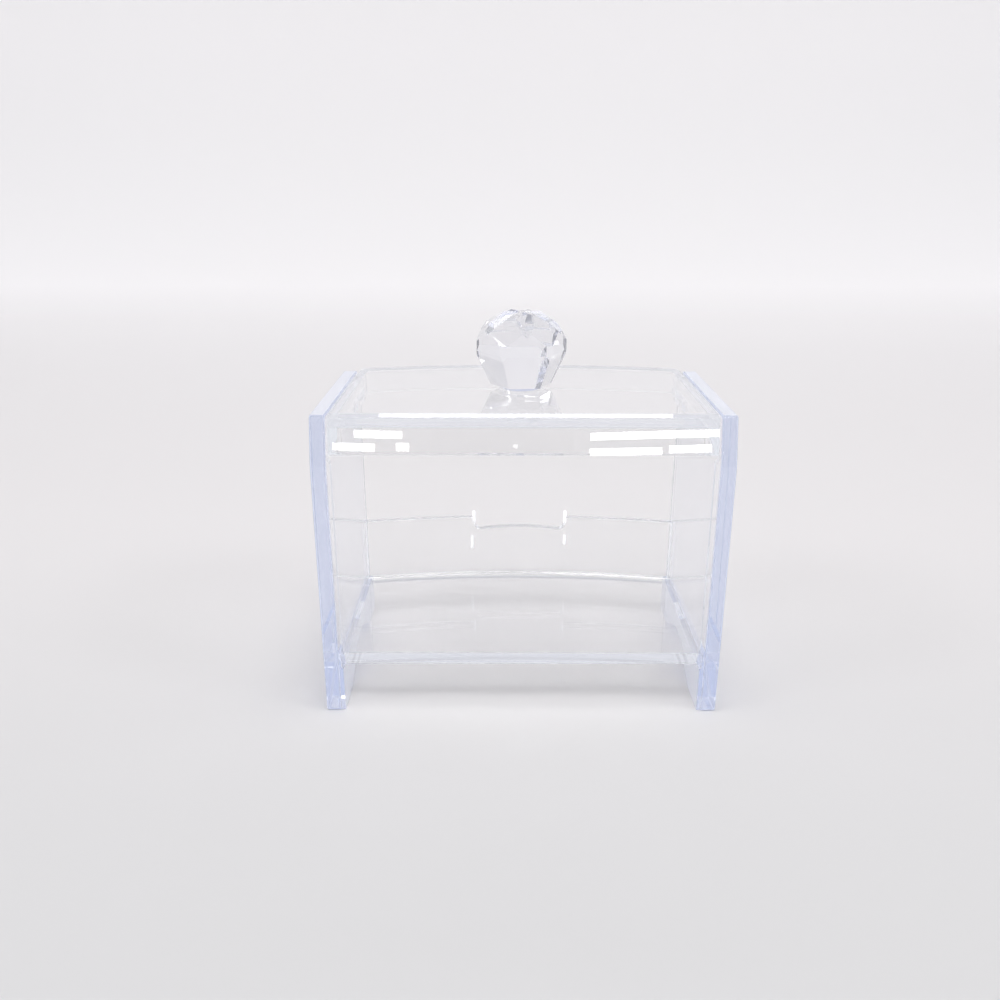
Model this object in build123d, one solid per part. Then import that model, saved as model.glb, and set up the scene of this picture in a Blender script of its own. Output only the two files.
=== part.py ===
from build123d import *
import math
import os

os.makedirs("parts", exist_ok=True)

# Cotton swab dispenser: a clear box on two side plates, with a tall flat back
# wall, a low bowed front lip with a finger notch, and a lift-off lid.
# Millimetres. +Z up, +X along the width, -Y the tall flat back,
# +Y the bowed front where swabs are taken out. The origin is on the table,
# under the middle of the overall box.

# ---------------------------------------------------------------- dimensions
WIDTH = 95.0                 # over the two side plates
PLATE_T = 3.6                # side plate thickness
PLATE_D = 56.0               # side plate depth at mid height
PLATE_H = 73.6               # side plate height
DEPTH = 59.6                 # overall depth, to the bow of the lid
Y0 = -DEPTH / 2              # back edge of the side plates

HIP_Z = 62.5                 # above this the plate edges lean in
TOP_BACK_IN = 2.6            # lean of the back edge at the top
TOP_FRONT_IN = 4.2           # lean of the front edge at the top
FOOT_IN = 0.1                # lean of both edges at the foot
ANKLE_Z = 12.5               # below this the plate edges lean in
ARCH_FROM = 11.0             # cut-out between the feet, along the depth
ARCH_TO = 45.0
ARCH_FLANK = 12.0            # its two ends slope up over this depth
ARCH_H = 5.5
PAD_T = 1.0                  # the feet are this much thicker on the inside
PAD_TOP = 10.1               # top of the thicker part, under the floor panel
PAD_SLOPE = 16.2             # in front of the back wall it fades out up here
EDGE_R = 0.45                # polished edge rounding of the side plates

INNER = WIDTH / 2 - PLATE_T  # inner face of a side plate, from the middle
BOND = 0.03                  # thickness of each bond line between panels
SEAT = 0.02                  # play under the lid where it rests

FLOOR_Z = 10.4               # underside of the floor panel
FLOOR_T = 2.2
WALL_IN = 4.8                # back wall face, behind the plate edges
WALL_T = 2.2
WALL_TOP = 70.8              # the lid panel rests here
SHOULDER_Z = 61.6            # the back wall narrows from here
SHOULDER_TOP = 65.8
TONGUE = 40.9                # half width of the narrow part of the back wall

LIP_END = 54.2               # outer face of the lip at the side plates
LIP_MID = 58.4               # outer face of the lip at the middle
LIP_T = 2.4
LIP_TOP = 29.7
NOTCH_X = 0.3                # middle of the finger notch
NOTCH_HALF = 12.9
NOTCH_Z = 25.8               # bottom of the finger notch at its sides
NOTCH_MID = 26.7             # and at its middle
NOTCH_R = 1.6
HEEL = 3.0                   # the lip's foot reaches in over this depth
HEEL_R = 1.3                 # rounding between the lip and its foot
BEAD_R = 0.38                # short upright beads at the sides of the notch
BEADS = ((-12.9, 28.2, 31.9), (-13.45, 20.1, 24.3),
         (13.45, 28.2, 32.0), (13.45, 21.5, 24.5))   # x, bottom and top

REST_FROM = 44.0             # rest block, along the depth
REST_TO = 51.0
REST_T = 1.9
REST_H = 3.4
RIM_Z = 64.9                 # bottom of the lid rim, top of the rest blocks

LID_HALF = 43.5              # half width of the lid, 0.4 clear of each plate
LID_BACK = 2.5               # back edge of the lid panel
LID_END = 54.6               # front edge of the lid at its ends
LID_MID = 59.6               # front edge of the lid at the middle
LID_TOP = 73.6
LID_R = 4.0                  # front corners of the lid, in plan
LID_BEVEL_Y = 2.0            # bevel along the lid's top edge at the back
LID_BEVEL_Z = 0.5
RIM_T = 2.0
RIM_BACK_LOW = 1.11          # back face of the rim at its bottom edge
RIM_BACK_TOP = 2.5           # back face of the rim under the lid panel
RIM_LEAD_X = 1.3             # lead-in inside the end walls of the rim
RIM_LEAD_Z = 3.4

KNOB_Y = 31.1                # knob centre, from the back edges of the plates
KNOB_H = 18.9                # height over the lid
KNOB_TURN = 6.0              # the knob is bonded on slightly turned
KNOB_STEM_R = 4.6            # short round stem under the facets
KNOB_STEM_H = 1.0
KNOB_SIDES = 6
# knob half profile: distance from the axis, height over the lid
FACE_FOOT = (6.6, 1.0)       # lower facets, at the middle of a side
FACE_WAIST = (9.45, 8.0)
GIRDLE = 10.05               # upright facets, at the middle of a side
CORNER_CUT = 11.05           # small upright facets, over a corner
CORNER_SHOULDER = (11.3, 11.5)   # crown facets, over a corner
CORNER_CROWN = (8.2, 16.3)
CORNER_TOP = (4.4, 18.7)
GROOVE_IN = (1.5, 18.0)      # bottom line of the grooves in the crown
GROOVE_OUT = (10.2, 13.8)
GROOVE_HALF = 52.0           # half of the groove's opening angle


def place(shape):
    """Depths are measured from the back edges of the plates."""
    return Pos(0, Y0, 0) * shape


def arc_radius(half, rise):
    """Radius of the arc with this half chord and this rise."""
    return (half * half + rise * rise) / (2 * rise)


# --------------------------------------------------------------- side plates
def plate_profile():
    """Side view of a plate, depth across and height up."""
    foot_back = FOOT_IN
    foot_front = PLATE_D - FOOT_IN
    pts = [
        (foot_back, 0),
        (0, ANKLE_Z),
        (0, HIP_Z),
        (TOP_BACK_IN, PLATE_H),
        (PLATE_D - TOP_FRONT_IN, PLATE_H),
        (PLATE_D, HIP_Z),
        (PLATE_D, ANKLE_Z),
        (foot_front, 0),
        (ARCH_TO, 0),
        (ARCH_TO - ARCH_FLANK, ARCH_H),
        (ARCH_FROM + ARCH_FLANK, ARCH_H),
        (ARCH_FROM, 0),
    ]
    with BuildSketch() as sk:
        with BuildLine():
            Polyline(*pts, close=True)
        make_face()
        vs = sk.vertices()

        def near(y, z):
            return min(vs, key=lambda v: (v.X - y) ** 2 + (v.Y - z) ** 2)

        fillet([near(0, ANKLE_Z), near(PLATE_D, ANKLE_Z)], 14.0)
        vs = sk.vertices()
        fillet([near(0, HIP_Z), near(PLATE_D, HIP_Z)], 12.0)
        vs = sk.vertices()
        fillet([near(PLATE_D - TOP_FRONT_IN, PLATE_H)], 2.4)
        vs = sk.vertices()
        fillet([near(TOP_BACK_IN, PLATE_H)], 0.9)
        vs = sk.vertices()
        fillet([near(ARCH_FROM + ARCH_FLANK, ARCH_H),
                near(ARCH_TO - ARCH_FLANK, ARCH_H)], 12.0)
        vs = sk.vertices()
        fillet([near(foot_back, 0), near(foot_front, 0),
                near(ARCH_FROM, 0), near(ARCH_TO, 0)], 0.8)
    return sk.sketch


profile = plate_profile()
plate = extrude(profile, PLATE_T)
rim_edges = plate.edges().filter_by(Axis.Z, reverse=True)
plate = fillet(rim_edges, EDGE_R)
# stand the profile up: its x is the depth, its y the height
plate = Plane(origin=(0, 0, 0), x_dir=(0, 1, 0), z_dir=(1, 0, 0)) * plate
# thicker feet: the same side view, only low down and on the inside
pad = extrude(profile, PAD_T + 1.0)
with BuildSketch() as sk:
    with BuildLine():
        Polyline((-1.0, -1), (PAD_T, -1), (PAD_T, PAD_TOP), (-1.0, PAD_TOP),
                 close=True)
    make_face()
low = Pos(0, PLATE_D + 1, 0) * (Plane(
    origin=(0, 0, 0), x_dir=(1, 0, 0), z_dir=(0, -1, 0)) * extrude(
        sk.sketch, PLATE_D + 2))
with BuildSketch() as sk:
    with BuildLine():
        Polyline((-1.0, -1), (PAD_T, -1), (PAD_T, PAD_TOP + 1.0),
                 (0, PAD_SLOPE), (-1.0, PAD_SLOPE), close=True)
    make_face()
ahead = Pos(0, WALL_IN - 0.3, 0) * (Plane(
    origin=(0, 0, 0), x_dir=(1, 0, 0), z_dir=(0, -1, 0)) * extrude(
        sk.sketch, WALL_IN + 2))
pad = Plane(origin=(0, 0, 0), x_dir=(0, 1, 0), z_dir=(1, 0, 0)) * pad
pad = Pos(-1.0, 0, 0) * pad & (low + ahead)
pad = pad & (Pos(0, (PLATE_D) / 2, 0) * Box(10, PLATE_D - 0.9, 200))
left_plate = Pos(-WIDTH / 2, 0, 0) * plate + Pos(-INNER, 0, 0) * pad
right_plate = Pos(INNER, 0, 0) * plate + mirror(
    Pos(-INNER, 0, 0) * pad, about=Plane.YZ)

# ----------------------------------------------------------------- back wall
with BuildSketch() as sk:
    with BuildLine():
        Polyline(
            (-INNER, FLOOR_Z), (INNER, FLOOR_Z),
            (INNER, SHOULDER_Z), (TONGUE, SHOULDER_TOP),
            (TONGUE, WALL_TOP - SEAT), (-TONGUE, WALL_TOP - SEAT),
            (-TONGUE, SHOULDER_TOP), (-INNER, SHOULDER_Z), close=True)
    make_face()
    fillet([v for v in sk.vertices()
            if abs(v.Y - WALL_TOP + SEAT) < 0.01], 1.5)
wall = extrude(sk.sketch, WALL_T)
# sketch x stays x, sketch y becomes height, thickness goes towards +Y
wall = Plane(origin=(0, 0, 0), x_dir=(1, 0, 0), z_dir=(0, -1, 0)) * wall
wall = Pos(0, WALL_IN + WALL_T, 0) * wall
# bond line to the end of the floor panel
wall = wall - Pos(0, WALL_IN + WALL_T, FLOOR_Z + FLOOR_T / 2) * Box(
    WIDTH, 2 * BOND, FLOOR_T)
back_wall = place(wall)


# ------------------------------------------------- bowed lip and floor panel
def bow_face(half, end, mid):
    """Plan area behind an arc that bows from `end` at the sides to `mid`."""
    with BuildSketch() as s:
        with BuildLine():
            l1 = Line((-half, -20), (half, -20))
            l2 = Line((half, -20), (half, end))
            ThreePointArc((half, end), (0, mid), (-half, end))
            l3 = Line((-half, end), (-half, -20))
        make_face()
    return s.sketch


LIP_R = arc_radius(INNER, LIP_MID - LIP_END)   # outer face of the lip
LIP_C = LIP_MID - LIP_R                        # its centre, along the depth


def inside_arc(r, half):
    """Plan area between the two side plates and inside this arc."""
    with BuildSketch() as s:
        with Locations((0, LIP_C)):
            Circle(r)
        with Locations((0, 60)):
            Rectangle(2 * half, 160, mode=Mode.INTERSECT)
    return s.sketch


def arc_at(r, x):
    """Depth at which the arc of radius r passes x."""
    return LIP_C + math.sqrt(r * r - x * x)


lip = Pos(0, 0, FLOOR_Z) * extrude(
    inside_arc(LIP_R, INNER) - inside_arc(LIP_R - LIP_T, INNER + 1),
    LIP_TOP - FLOOR_Z)
# its foot, level with the floor panel, with a rounding up to the lip
lip = lip + Pos(0, 0, FLOOR_Z) * extrude(
    inside_arc(LIP_R - LIP_T + 0.5, INNER)
    - inside_arc(LIP_R - LIP_T - HEEL + BOND, INNER + 1), FLOOR_T)
corner = [e for e in lip.edges()
          if abs(e.center().Z - FLOOR_Z - FLOOR_T) < 0.01
          and abs(e.center().X) < 0.01
          and abs(e.center().Y - (LIP_C + LIP_R - LIP_T)) < 0.6
          and e.length > INNER]
lip = fillet(corner, HEEL_R)
# the finger notch, with rounded lower corners
with BuildSketch() as sk:
    with BuildLine():
        Polyline((NOTCH_HALF, NOTCH_Z), (NOTCH_HALF, LIP_TOP + 12),
                 (-NOTCH_HALF, LIP_TOP + 12), (-NOTCH_HALF, NOTCH_Z))
        ThreePointArc((-NOTCH_HALF, NOTCH_Z), (0, NOTCH_MID),
                      (NOTCH_HALF, NOTCH_Z))
    make_face()
    fillet([v for v in sk.vertices() if v.Y < LIP_TOP], NOTCH_R)
notch = extrude(sk.sketch, 20)
notch = Plane(origin=(0, 0, 0), x_dir=(1, 0, 0), z_dir=(0, -1, 0)) * notch
notch = Pos(NOTCH_X, LIP_MID + 5, 0) * notch
lip = lip - notch
tab_edges = [e for e in lip.edges()
             if abs(e.center().Z - LIP_TOP) < 0.01]
lip = fillet(tab_edges, 0.5)
# short beads with round ends, proud of its inner face
for x, z0, z1 in BEADS:
    bead = Cylinder(BEAD_R, z1 - z0)
    bead = fillet(bead.edges().filter_by(GeomType.CIRCLE), BEAD_R * 0.9)
    lip = lip + Pos(x, arc_at(LIP_R - LIP_T, x) - 0.05, (z0 + z1) / 2) * bead
front_lip = place(lip)

floor = Pos(0, 0, FLOOR_Z) * extrude(
    inside_arc(LIP_R - LIP_T - HEEL, INNER), FLOOR_T)
floor = floor & (Pos(0, WALL_IN + WALL_T + 50, FLOOR_Z) * Box(
    WIDTH, 100, 20))
floor_panel = place(floor)

# --------------------------------------------------------------- rest blocks
# one on each side plate near the front, with a sloped underside
with BuildSketch() as sk:
    with BuildLine():
        Polyline((INNER, RIM_Z - SEAT), (INNER - REST_T, RIM_Z - SEAT),
                 (INNER - REST_T, RIM_Z - REST_H + REST_T),
                 (INNER, RIM_Z - REST_H), close=True)
    make_face()
block = extrude(sk.sketch, REST_TO - REST_FROM)
block = Plane(origin=(0, 0, 0), x_dir=(1, 0, 0), z_dir=(0, -1, 0)) * block
block = Pos(0, REST_TO, 0) * block
lid_rest_blocks = Compound(children=[
    place(block), mirror(place(block), about=Plane.YZ)])

# ---------------------------------------------- bond lines in the side plates
# each plate is let in by the bond thickness where a panel meets it
heel_in = arc_at(LIP_R - LIP_T - HEEL, INNER)
lip_in = arc_at(LIP_R - LIP_T, INNER)
lip_out = arc_at(LIP_R, INNER)
footprints = (
    (WALL_IN, WALL_IN + WALL_T, FLOOR_Z, SHOULDER_Z),      # back wall
    (WALL_IN + WALL_T, heel_in, FLOOR_Z, FLOOR_Z + FLOOR_T),  # floor
    (heel_in, lip_in, FLOOR_Z, FLOOR_Z + FLOOR_T),         # foot of the lip
    (lip_in, lip_out, FLOOR_Z, LIP_TOP - 0.5),             # lip
    (REST_FROM, REST_TO, RIM_Z - REST_H, RIM_Z - SEAT),    # rest block
)
for y0, y1, z0, z1 in footprints:
    pad = Box(2 * BOND, y1 - y0, z1 - z0)
    left_plate = left_plate - Pos(-INNER, (y0 + y1) / 2, (z0 + z1) / 2) * pad
    right_plate = right_plate - Pos(INNER, (y0 + y1) / 2, (z0 + z1) / 2) * pad
left_side_plate = place(left_plate)
right_side_plate = place(right_plate)


# ----------------------------------------------------------------------- lid
def lid_outline(inset, back):
    """Plan of the lid, drawn in by `inset` from its sides and front."""
    half = LID_HALF - inset
    with BuildSketch() as s:
        with BuildLine():
            Line((-half, back), (half, back))
            Line((half, back), (half, LID_END - inset))
            ThreePointArc((half, LID_END - inset), (0, LID_MID - inset),
                          (-half, LID_END - inset))
            Line((-half, LID_END - inset), (-half, back))
        make_face()
        fillet([v for v in s.vertices() if v.Y > 20],
               max(LID_R - inset, 1.0))
    return s.sketch


panel = Pos(0, 0, WALL_TOP) * extrude(
    lid_outline(0, LID_BACK), LID_TOP - WALL_TOP)
other_top = [e for e in panel.edges()
             if abs(e.center().Z - LID_TOP) < 0.01
             and (e.center().Y > 20 or abs(e.center().X) > 20)]
panel = fillet(other_top, 0.6)
panel = split(panel, bisect_by=Plane(
    origin=(0, LID_BACK + LID_BEVEL_Y, LID_TOP),
    z_dir=(0, -LID_BEVEL_Z, LID_BEVEL_Y)), keep=Keep.BOTTOM)
back_top = [e for e in panel.edges()
            if abs(e.center().Y - LID_BACK) < 0.02 and e.length > 60
            and e.center().Z > WALL_TOP + 1]
panel = fillet(back_top, 0.35)
# bond line to the top of the rim
panel = panel - Pos(0, 0, WALL_TOP) * extrude(
    lid_outline(0, LID_BACK) - lid_outline(RIM_T, RIM_BACK_TOP + RIM_T), BOND)

# the rim: outline less its inside, with a leaning back face
rim_h = WALL_TOP - RIM_Z
rim = Pos(0, 0, RIM_Z) * (
    extrude(lid_outline(0, -3), rim_h)
    - extrude(lid_outline(RIM_T, RIM_BACK_LOW + RIM_T), rim_h))
with BuildSketch() as sk:
    with BuildLine():
        Polyline((RIM_BACK_LOW, RIM_Z), (RIM_BACK_TOP, WALL_TOP),
                 (70, WALL_TOP), (70, RIM_Z), close=True)
    make_face()
lean = extrude(sk.sketch, 2 * LID_HALF)
lean = Plane(origin=(-LID_HALF, 0, 0), x_dir=(0, 1, 0), z_dir=(1, 0, 0)) * lean
rim = rim & lean
# the inner face of the back of the rim leans with its outer face
with BuildSketch() as sk:
    with BuildLine():
        Polyline((RIM_BACK_LOW + RIM_T - 0.05, RIM_Z),
                 (RIM_BACK_LOW + RIM_T, RIM_Z),
                 (RIM_BACK_TOP + RIM_T, WALL_TOP),
                 (RIM_BACK_LOW + RIM_T - 0.05, WALL_TOP), close=True)
    make_face()
inner_lean = extrude(sk.sketch, 2 * (LID_HALF - RIM_T) + 0.2)
inner_lean = Plane(origin=(-(LID_HALF - RIM_T) - 0.1, 0, 0),
                   x_dir=(0, 1, 0), z_dir=(1, 0, 0)) * inner_lean
rim = rim + inner_lean
# lead-in inside the two end walls
for side in (-1, 1):
    x_in = LID_HALF - RIM_T
    with BuildSketch() as sk:
        with BuildLine():
            Polyline((x_in - 0.01, RIM_Z - 0.01),
                     (x_in + RIM_LEAD_X, RIM_Z - 0.01),
                     (x_in - 0.01, RIM_Z + RIM_LEAD_Z), close=True)
        make_face()
    lead = extrude(sk.sketch, 43.5)
    lead = Plane(origin=(0, 0, 0), x_dir=(1, 0, 0), z_dir=(0, -1, 0)) * lead
    lead = Pos(0, RIM_BACK_LOW + RIM_T + 1.0 + 43.5, 0) * lead
    if side < 0:
        lead = mirror(lead, about=Plane.YZ)
    rim = rim - lead
lid_rim = place(rim)

# ---------------------------------------------------------------------- knob
# six tall facets that widen upward, six upright facets, a crown of facets
# over the corners with a groove between each two, and a short round stem
def heading(a):
    """Unit direction at azimuth a, from the flat back towards +X."""
    a = math.radians(a)
    return Vector(math.sin(a), -math.cos(a), 0)


def facet(solid, azimuth, low, high):
    """Cut with the plane through two profile points, facing outward."""
    d = heading(azimuth)
    dr, dh = high[0] - low[0], high[1] - low[1]
    n = d * dh + Vector(0, 0, 1) * (-dr)
    at = d * low[0] + Vector(0, 0, low[1])
    return split(solid, bisect_by=Plane(origin=at, z_dir=n), keep=Keep.BOTTOM)


knob = Pos(0, 0, (KNOB_STEM_H + KNOB_H) / 2) * Cylinder(
    14, KNOB_H - KNOB_STEM_H)
step = 360.0 / KNOB_SIDES
for k in range(KNOB_SIDES):
    side = KNOB_TURN + step * k
    knob = facet(knob, side, FACE_FOOT, FACE_WAIST)
    knob = facet(knob, side, (GIRDLE, 0), (GIRDLE, 10))
    corner = side + step / 2
    knob = facet(knob, corner, (CORNER_CUT, 0), (CORNER_CUT, 10))
    knob = facet(knob, corner, CORNER_SHOULDER, CORNER_CROWN)
    knob = facet(knob, corner, CORNER_CROWN, CORNER_TOP)
for k in range(KNOB_SIDES):
    d = heading(KNOB_TURN + step * k)
    a = d * GROOVE_IN[0] + Vector(0, 0, GROOVE_IN[1])
    b = d * GROOVE_OUT[0] + Vector(0, 0, GROOVE_OUT[1])
    along = (b - a).normalized()
    across = Vector(0, 0, 1).cross(along).normalized()
    up = along.cross(across)
    w = 8.0
    with BuildSketch(Plane(origin=a - along * 1.0, x_dir=across,
                           z_dir=along)) as sk:
        with BuildLine():
            Polyline((0, 0),
                     (w * math.tan(math.radians(GROOVE_HALF)), w),
                     (-w * math.tan(math.radians(GROOVE_HALF)), w),
                     close=True)
        make_face()
    if sk.sketch.center().Z < a.Z:
        raise ValueError("groove opens downward")
    knob = knob - extrude(sk.sketch, 20)
stem = Pos(0, 0, (KNOB_STEM_H + 0.2) / 2) * Cylinder(
    KNOB_STEM_R, KNOB_STEM_H + 0.2)
knob = knob + stem
lid_knob = place(Pos(0, KNOB_Y, LID_TOP) * knob)
# bond line to the stem of the knob
panel = panel - Pos(0, KNOB_Y, LID_TOP) * Cylinder(KNOB_STEM_R, 2 * BOND)
lid_panel = place(panel)

# ------------------------------------------------------------------- writing
nodes = {
    "left_side_plate": left_side_plate,
    "right_side_plate": right_side_plate,
    "back_wall": back_wall,
    "floor_panel": floor_panel,
    "front_lip": front_lip,
    "lid_rest_blocks": lid_rest_blocks,
    "lid_panel": lid_panel,
    "lid_rim": lid_rim,
    "lid_knob": lid_knob,
}
for name, shape in nodes.items():
    export_step(shape, f"parts/{name}.step")
    box = shape.bounding_box()
    print(name, round(shape.volume, 1),
          [round(v, 2) for v in (box.min.X, box.min.Y, box.min.Z,
                                 box.max.X, box.max.Y, box.max.Z)])
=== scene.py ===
import math

import bpy
import bmesh
from mathutils import Matrix, Vector

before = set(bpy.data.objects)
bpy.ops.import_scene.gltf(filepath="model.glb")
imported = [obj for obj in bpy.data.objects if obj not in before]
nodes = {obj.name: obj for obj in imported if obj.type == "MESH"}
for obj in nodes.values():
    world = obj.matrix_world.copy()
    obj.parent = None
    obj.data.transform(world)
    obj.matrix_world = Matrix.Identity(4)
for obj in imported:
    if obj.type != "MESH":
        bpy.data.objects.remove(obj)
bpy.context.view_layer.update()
scene = bpy.context.scene


# ------------------------------------------------------------------ camera
def make_camera():
    """The viewpoint: above and in front of the tall flat wall."""
    data = bpy.data.cameras.new("view")
    data.sensor_width = 36.0
    data.lens = 33.12
    data.clip_start, data.clip_end = 0.01, 50
    cam = bpy.data.objects.new("view", data)
    scene.collection.objects.link(cam)
    pitch, yaw, roll = map(math.radians, (19.70, -0.17, 0.04))
    forward = Vector((math.sin(yaw) * math.cos(pitch),
                      math.cos(yaw) * math.cos(pitch), -math.sin(pitch)))
    cam.rotation_mode = "QUATERNION"
    turn = forward.to_track_quat("-Z", "Y").to_matrix().to_4x4()
    turn = turn @ Matrix.Rotation(roll, 4, "Z")
    cam.matrix_world = Matrix.Translation((-0.00458, -0.22438, 0.12448)) @ turn
    scene.camera = cam
    return cam


make_camera()
scene.view_settings.view_transform = "Standard"
scene.view_settings.look = "None"
# light that runs along inside a clear panel is turned back many times
scene.cycles.max_bounces = 64
scene.cycles.glossy_bounces = 64
scene.cycles.transmission_bounces = 64
scene.cycles.transparent_max_bounces = 64
scene.cycles.blur_glossy = 0.0


# --------------------------------------------------------------- materials
class Tree:
    """Small helper to add nodes and link them."""

    def __init__(self, owner):
        owner.use_nodes = True
        self.nt = owner.node_tree
        self.nt.nodes.clear()

    def add(self, kind, **values):
        n = self.nt.nodes.new(kind)
        for key, value in values.items():
            if hasattr(n, key) and key not in n.inputs.keys():
                setattr(n, key, value)
            else:
                n.inputs[key].default_value = value
        return n

    def link(self, a, b):
        self.nt.links.new(a, b)


def clear_plastic(name, depth, glow, tint=(1, 1, 1), rough=0.0):
    """Clear moulded plastic. It bends light. Along the way inside, light fades
    towards a pale blue: depth is the path in metres over which about two thirds
    of it has changed, glow the colour it fades to. That glow is painted light:
    an emission inside the piece that stands in for room light scattered in the
    plastic."""
    mat = bpy.data.materials.new(name)
    t = Tree(mat)
    out = t.add("ShaderNodeOutputMaterial")
    p = t.add("ShaderNodeBsdfPrincipled")
    p.inputs["Base Color"].default_value = (*tint, 1)
    p.inputs["Transmission Weight"].default_value = 1.0
    p.inputs["IOR"].default_value = 1.49
    p.inputs["Roughness"].default_value = rough
    take = t.add("ShaderNodeVolumeAbsorption")
    take.inputs["Density"].default_value = 1 / depth
    take.inputs["Color"].default_value = (0, 0, 0, 1)
    # painted light: the piece glows with this colour from inside, lamps or not
    painted_glow = t.add("ShaderNodeEmission")
    painted_glow.inputs["Color"].default_value = (*glow, 1)
    painted_glow.inputs["Strength"].default_value = 1 / depth
    both = t.add("ShaderNodeAddShader")
    t.link(take.outputs[0], both.inputs[0])
    t.link(painted_glow.outputs[0], both.inputs[1])
    t.link(p.outputs["BSDF"], out.inputs["Surface"])
    t.link(both.outputs[0], out.inputs["Volume"])
    return mat


def satin(name, glow):
    """The same plastic with a ground surface, plus a painted glow: a fixed
    emission that makes it look bright white, like a glint or highlight, whatever
    the lamps do."""
    mat = bpy.data.materials.new(name)
    t = Tree(mat)
    out = t.add("ShaderNodeOutputMaterial")
    p = t.add("ShaderNodeBsdfPrincipled")
    p.inputs["Base Color"].default_value = (0.97, 0.97, 1.0, 1)
    p.inputs["Transmission Weight"].default_value = 0.25
    p.inputs["IOR"].default_value = 1.49
    p.inputs["Roughness"].default_value = 0.35
    p.inputs["Emission Color"].default_value = (0.97, 0.98, 1.0, 1)
    p.inputs["Emission Strength"].default_value = glow
    t.link(p.outputs["BSDF"], out.inputs["Surface"])
    return mat


def sawn(name):
    """The plates' top edges and the inner faces of their feet: flat, but not
    polished, so that they are paler than the polished edges."""
    mat = bpy.data.materials.new(name)
    t = Tree(mat)
    out = t.add("ShaderNodeOutputMaterial")
    p = t.add("ShaderNodeBsdfPrincipled")
    p.inputs["Base Color"].default_value = (0.90, 0.92, 1.0, 1)
    p.inputs["Transmission Weight"].default_value = 0.45
    p.inputs["IOR"].default_value = 1.49
    p.inputs["Roughness"].default_value = 0.30
    t.link(p.outputs["BSDF"], out.inputs["Surface"])
    return mat


def bonded_face(name):
    """A face that is bonded to a neighbour: light goes straight on."""
    mat = bpy.data.materials.new(name)
    t = Tree(mat)
    out = t.add("ShaderNodeOutputMaterial")
    p = t.add("ShaderNodeBsdfTransparent")
    p.inputs["Color"].default_value = (1, 1, 1, 1)
    t.link(p.outputs["BSDF"], out.inputs["Surface"])
    return mat


# each glow colour below is painted light, set per piece: bluest in the side
# plates, palest in the rim
plates_mat = clear_plastic("clear_plate", 0.055, (0.53, 0.59, 0.81))
panel_mat = clear_plastic("clear_panel", 0.060, (0.72, 0.735, 0.80))
lid_mat = clear_plastic("clear_lid", 0.040, (0.75, 0.76, 0.82))
rim_mat = clear_plastic("clear_rim", 0.040, (0.80, 0.82, 0.88))
knob_mat = clear_plastic("clear_knob", 0.110, (0.62, 0.64, 0.79))
bond_mat = bonded_face("bonded_face")
# the satin finishes carry painted light: a painted glint on the beads, a painted
# highlight on the bond lines
painted_glint_bead_mat = satin("satin_bead", 0.4)
painted_highlight_bond_line_mat = satin("satin_bond_line", 0.12)
sawn_mat = sawn("sawn_edge")

finish = {
    "left_side_plate": plates_mat,
    "right_side_plate": plates_mat,
    "back_wall": panel_mat,
    "floor_panel": panel_mat,
    "front_lip": panel_mat,
    "lid_rest_blocks": panel_mat,
    "lid_panel": lid_mat,
    "lid_rim": rim_mat,
    "lid_knob": knob_mat,
}
for name, mat in finish.items():
    o = nodes[name]
    o.data.materials.clear()
    o.data.materials.append(mat)


# ------------------------------------------------------------ bonded faces
def thin_box(axis, at, lo=(-1, -1, -1), hi=(1, 1, 1), half=0.000012):
    """A box about a plane across this axis, in metres."""
    lo, hi = list(lo), list(hi)
    lo[axis], hi[axis] = at - half, at + half
    return tuple(lo), tuple(hi)


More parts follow.
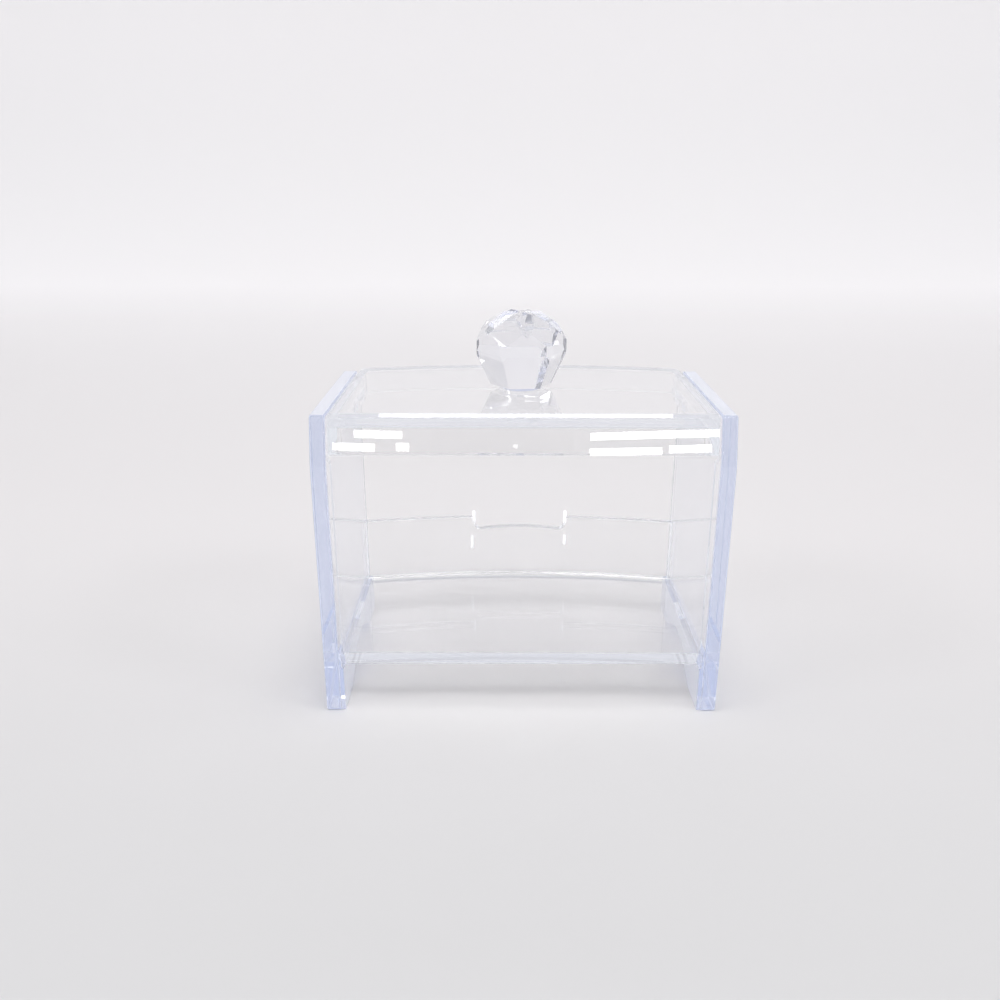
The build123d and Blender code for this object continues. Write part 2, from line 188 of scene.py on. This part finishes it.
def set_bonded(ob, boxes, mat=None, tag="bonded"):
    """Faces whose middle is inside one of the boxes get another finish, the
    bonded one if none is named, by a modifier, so that the mesh itself stays
    as it is."""
    nt = bpy.data.node_groups.new(tag + "_" + ob.name, "GeometryNodeTree")
    nt.interface.new_socket("Geometry", in_out="INPUT",
                            socket_type="NodeSocketGeometry")
    nt.interface.new_socket("Geometry", in_out="OUTPUT",
                            socket_type="NodeSocketGeometry")
    add, link = nt.nodes.new, nt.links.new
    gin, gout = add("NodeGroupInput"), add("NodeGroupOutput")
    pos = add("GeometryNodeInputPosition")
    found = None
    for lo, hi in boxes:
        c = [(a + b) / 2 for a, b in zip(lo, hi)]
        h = [(b - a) / 2 for a, b in zip(lo, hi)]
        off = add("ShaderNodeVectorMath")
        off.operation = "SUBTRACT"
        off.inputs[1].default_value = c
        link(pos.outputs[0], off.inputs[0])
        ab = add("ShaderNodeVectorMath")
        ab.operation = "ABSOLUTE"
        link(off.outputs[0], ab.inputs[0])
        dv = add("ShaderNodeVectorMath")
        dv.operation = "DIVIDE"
        dv.inputs[1].default_value = h
        link(ab.outputs[0], dv.inputs[0])
        sep = add("ShaderNodeSeparateXYZ")
        link(dv.outputs[0], sep.inputs[0])
        m1 = add("ShaderNodeMath")
        m1.operation = "MAXIMUM"
        link(sep.outputs[0], m1.inputs[0])
        link(sep.outputs[1], m1.inputs[1])
        m2 = add("ShaderNodeMath")
        m2.operation = "MAXIMUM"
        link(m1.outputs[0], m2.inputs[0])
        link(sep.outputs[2], m2.inputs[1])
        less = add("ShaderNodeMath")
        less.operation = "LESS_THAN"
        less.inputs[1].default_value = 1.0
        link(m2.outputs[0], less.inputs[0])
        if found is None:
            found = less.outputs[0]
        else:
            both = add("ShaderNodeMath")
            both.operation = "MAXIMUM"
            link(found, both.inputs[0])
            link(less.outputs[0], both.inputs[1])
            found = both.outputs[0]
    on = add("FunctionNodeCompare")
    on.data_type = "FLOAT"
    on.operation = "GREATER_THAN"
    on.inputs[1].default_value = 0.5
    link(found, on.inputs[0])
    sm = add("GeometryNodeSetMaterial")
    sm.inputs["Material"].default_value = mat or bond_mat
    link(gin.outputs[0], sm.inputs["Geometry"])
    link(on.outputs[0], sm.inputs["Selection"])
    link(sm.outputs[0], gout.inputs[0])
    mod = ob.modifiers.new(tag, "NODES")
    mod.node_group = nt


mm = 0.001
bond = 0.03 * mm
inner = 43.9 * mm
y0 = -29.8 * mm
plate_in = [thin_box(0, s * (inner + bond)) for s in (-1, 1)]
panel_end = [thin_box(0, s * inner) for s in (-1, 1)]
floor_lo, floor_hi = 10.4 * mm, 12.6 * mm
wall_in = y0 + 7.0 * mm
set_bonded(nodes["left_side_plate"], plate_in)
set_bonded(nodes["right_side_plate"], plate_in)
for side in ("left_side_plate", "right_side_plate"):
    set_bonded(nodes[side], [thin_box(2, 73.60 * mm),
                             thin_box(0, -42.90 * mm), thin_box(0, 42.90 * mm)],
               sawn_mat, "sawn")
set_bonded(nodes["back_wall"], panel_end + [thin_box(1, wall_in - bond)])
# the curved end of the floor panel and what it meets on the lip: every
# face that is upright, between the two heights and not an end face
set_bonded(nodes["floor_panel"], panel_end + [thin_box(1, wall_in)] + [
    ((-inner, 0.0, floor_lo + 0.0001), (inner, 0.04, floor_hi - 0.0001))])
set_bonded(nodes["front_lip"], panel_end + [
    ((-inner, 0.0, floor_lo + 0.0001), (inner, 0.04, floor_hi - 0.0001))])
# the short beads at the sides of the finger notch are satin, with a painted
# glint that glows white
set_bonded(nodes["front_lip"], [
    ((x - 0.5 * mm, 0.0250, z0 - 0.3 * mm), (x + 0.5 * mm, y1, z1 + 0.3 * mm))
    for x, z0, z1, y1 in ((-12.9 * mm, 28.2 * mm, 31.9 * mm, 0.0264),
                          (-13.45 * mm, 20.1 * mm, 24.3 * mm, 0.0257),
                          (13.45 * mm, 28.2 * mm, 32.0 * mm, 0.0264),
                          (13.45 * mm, 21.5 * mm, 24.5 * mm, 0.0257))],
    painted_glint_bead_mat, "satin")
# and so is the bond line at each end of the lip, above the floor, with a fainter
# painted highlight
set_bonded(nodes["front_lip"], [
    thin_box(0, s * inner, lo=(-1, 0.0, 13.5 * mm)) for s in (-1, 1)],
    painted_highlight_bond_line_mat, "bond_line")
set_bonded(nodes["lid_rest_blocks"], panel_end)
set_bonded(nodes["lid_panel"], [thin_box(2, 70.83 * mm),
                                thin_box(2, 73.57 * mm)])
set_bonded(nodes["lid_rim"], [thin_box(2, 70.80 * mm)])
set_bonded(nodes["lid_knob"], [thin_box(2, 73.60 * mm)])


# ------------------------------------------------------------------- stage
def make_stage():
    """A pale table with a backdrop behind it, made brighter by a painted glow.
    """
    bm = bmesh.new()
    prof = []
    back, r, top = 1.15, 0.30, 2.8
    # just clear of the feet, so that the two faces never coincide
    low = -0.00005
    prof.append((-1.2, low))
    prof.append((back - r, low))
    for i in range(1, 25):
        a = math.radians(90 * i / 24)
        prof.append((back - r + r * math.sin(a), r - r * math.cos(a)))
    prof.append((back, top))
    xs = (-3.0, 3.0)
    rows = [[bm.verts.new((x, y, z)) for x in xs] for y, z in prof]
    for a, b in zip(rows, rows[1:]):
        bm.faces.new((a[0], a[1], b[1], b[0]))
    me = bpy.data.meshes.new("table")
    bm.to_mesh(me)
    bm.free()
    for f in me.polygons:
        f.use_smooth = True
    ob = bpy.data.objects.new("table", me)
    scene.collection.objects.link(ob)
    mat = bpy.data.materials.new("table")
    t = Tree(mat)
    out = t.add("ShaderNodeOutputMaterial")
    p = t.add("ShaderNodeBsdfPrincipled")
    p.inputs["Roughness"].default_value = 0.6
    p.inputs["Specular IOR Level"].default_value = 0.2
    geo = t.add("ShaderNodeNewGeometry")
    sep = t.add("ShaderNodeSeparateXYZ")
    t.link(geo.outputs["Position"], sep.inputs[0])
    # a sheet of paper, with painted shade: its colour is a little darker at its
    # near end, where less light falls
    tone = t.add("ShaderNodeMapRange")
    tone.interpolation_type = "SMOOTHSTEP"
    tone.inputs["From Min"].default_value = -0.15
    tone.inputs["From Max"].default_value = 0.12
    t.link(sep.outputs["Y"], tone.inputs["Value"])
    paper_painted_shade = t.add("ShaderNodeMix")
    paper_painted_shade.data_type = "RGBA"
    t.link(tone.outputs["Result"], paper_painted_shade.inputs[0])
    paper_painted_shade.inputs[6].default_value = (0.655, 0.65, 0.655, 1)
    paper_painted_shade.inputs[7].default_value = (0.765, 0.745, 0.75, 1)
    t.link(paper_painted_shade.outputs[2], p.inputs["Base Color"])
    # painted light: the table and backdrop glow on their own, a soft rise along
    # the depth
    backdrop_painted_glow = t.add("ShaderNodeMapRange")
    backdrop_painted_glow.interpolation_type = "SMOOTHSTEP"
    backdrop_painted_glow.inputs["From Min"].default_value = -0.05
    backdrop_painted_glow.inputs["From Max"].default_value = 1.12
    backdrop_painted_glow.inputs["To Min"].default_value = 0.0
    backdrop_painted_glow.inputs["To Max"].default_value = 0.345
    t.link(sep.outputs["Y"], backdrop_painted_glow.inputs["Value"])
    # a little more painted glow to the sides; the upward factor stays at 1
    away = t.add("ShaderNodeMath")
    away.operation = "ABSOLUTE"
    t.link(sep.outputs["X"], away.inputs[0])
    sides = t.add("ShaderNodeMapRange")
    sides.interpolation_type = "SMOOTHSTEP"
    sides.inputs["From Max"].default_value = 0.9
    sides.inputs["To Min"].default_value = 1.0
    sides.inputs["To Max"].default_value = 1.1
    t.link(away.outputs[0], sides.inputs["Value"])
    high = t.add("ShaderNodeMapRange")
    high.interpolation_type = "SMOOTHSTEP"
    high.inputs["From Min"].default_value = 0.02
    high.inputs["From Max"].default_value = 0.45
    high.inputs["To Min"].default_value = 1.0
    high.inputs["To Max"].default_value = 1.0
    t.link(sep.outputs["Z"], high.inputs["Value"])
    fall = t.add("ShaderNodeMath")
    fall.operation = "MULTIPLY"
    t.link(sides.outputs["Result"], fall.inputs[0])
    t.link(high.outputs["Result"], fall.inputs[1])
    glow_by = t.add("ShaderNodeMath")
    glow_by.operation = "MULTIPLY"
    t.link(fall.outputs[0], glow_by.inputs[0])
    t.link(backdrop_painted_glow.outputs["Result"], glow_by.inputs[1])
    p.inputs["Emission Color"].default_value = (0.97, 0.97, 1.0, 1)
    t.link(glow_by.outputs[0], p.inputs["Emission Strength"])
    t.link(p.outputs["BSDF"], out.inputs["Surface"])
    me.materials.append(mat)
    return ob


make_stage()


def area(name, where, at, w, h, power, colour=(1, 1, 1)):
    d = bpy.data.lights.new(name, "AREA")
    d.shape = "RECTANGLE"
    d.size, d.size_y = w, h
    d.energy = power
    d.color = colour
    o = bpy.data.objects.new(name, d)
    scene.collection.objects.link(o)
    o.location = where
    o.rotation_mode = "QUATERNION"
    o.rotation_quaternion = (Vector(at) - Vector(where)).to_track_quat("-Z", "Y")
    return o


def polar(az, el, dist, z0=0.04):
    """A point at azimuth az from straight ahead of the camera side."""
    a, e = math.radians(az), math.radians(el)
    return (dist * math.sin(a) * math.cos(e), -dist * math.cos(a) * math.cos(e),
            z0 + dist * math.sin(e))


centre = (0, 0, 0.04)
area("soft_left", polar(-64, 43, 1.1), centre, 0.26, 0.26, 1.6)
area("soft_right", polar(64, 43, 1.1), centre, 0.26, 0.26, 1.6)


overhead = (0.045, -0.22, 1.07)
area("overhead", overhead, (0.0, 0.0, 0.0), 0.46, 0.50, 3.7)


def strip(name, x0, x1, z, radiance, tall=0.010, y=-1.03):
    """A long thin lamp across the front, which the lid's rim mirrors."""
    where = ((x0 + x1) / 2, y, z)
    power = radiance * math.pi * (x1 - x0) * tall
    return area(name, where, (where[0] * 0.2, -0.03, 0.07),
                x1 - x0, tall, power)


strip("strip_left_1", -0.202, -0.139, 0.262, 14)
strip("strip_left_2", -0.230, -0.175, 0.245, 14)
strip("strip_left_3", -0.146, -0.129, 0.245, 14)
strip("strip_right_1", 0.113, 0.283, 0.262, 14)
strip("strip_right_2", 0.111, 0.206, 0.239, 14)
strip("strip_right_3", 0.217, 0.272, 0.243, 14)
# a small one close by, in front of the near card
strip("strip_middle", 0.0006, 0.0026, 0.108, 4, tall=0.002, y=-0.258)


# one behind the object, mirrored in the bevel along the lid's back edge
area("strip_rear", (0.036, 1.05, 1.061), (0.0, -0.026, 0.073), 0.53, 0.07, 0.47)


def card(name, where, w, h, tone):
    """An upright card in front of the object, out of the camera's sight."""
    bm = bmesh.new()
    x, y, z = where
    vs = [bm.verts.new((x + a * w / 2, y, z + b * h / 2))
          for a, b in ((-1, -1), (1, -1), (1, 1), (-1, 1))]
    bm.faces.new(vs)
    me = bpy.data.meshes.new(name)
    bm.to_mesh(me)
    bm.free()
    ob = bpy.data.objects.new(name, me)
    scene.collection.objects.link(ob)
    mat = bpy.data.materials.new(name)
    t = Tree(mat)
    out = t.add("ShaderNodeOutputMaterial")
    p = t.add("ShaderNodeBsdfPrincipled")
    p.inputs["Base Color"].default_value = (tone, tone, tone, 1)
    p.inputs["Roughness"].default_value = 0.7
    t.link(p.outputs["BSDF"], out.inputs["Surface"])
    me.materials.append(mat)
    return ob


card("dark_card", (-0.005, -1.10, 0.34), 0.20, 0.5, 0.03)
card("dark_phone", (-0.005, -0.262, 0.135), 0.050, 0.10, 0.015)

world = bpy.data.worlds.new("room")
scene.world = world
t = Tree(world)
out = t.add("ShaderNodeOutputWorld")
bg = t.add("ShaderNodeBackground")
co = t.add("ShaderNodeTexCoord")
sep = t.add("ShaderNodeSeparateXYZ")
t.link(co.outputs["Generated"], sep.inputs[0])
# brightest overhead, bright behind, dim in front
up = t.add("ShaderNodeMapRange")
up.interpolation_type = "SMOOTHSTEP"
up.inputs["From Min"].default_value = 0.15
up.inputs["From Max"].default_value = 0.85
up.inputs["To Min"].default_value = 0.0
up.inputs["To Max"].default_value = 0.30
t.link(sep.outputs["Z"], up.inputs["Value"])
rear = t.add("ShaderNodeMapRange")
rear.interpolation_type = "SMOOTHSTEP"
rear.inputs["From Min"].default_value = -0.45
rear.inputs["From Max"].default_value = 0.6
rear.inputs["To Min"].default_value = 0.20
rear.inputs["To Max"].default_value = 0.92
t.link(sep.outputs["Y"], rear.inputs["Value"])
total = t.add("ShaderNodeMath")
total.operation = "ADD"
t.link(up.outputs["Result"], total.inputs[0])
t.link(rear.outputs["Result"], total.inputs[1])
t.link(total.outputs[0], bg.inputs["Strength"])
bg.inputs["Color"].default_value = (0.98, 0.985, 1.0, 1)
t.link(bg.outputs["Background"], out.inputs["Surface"])
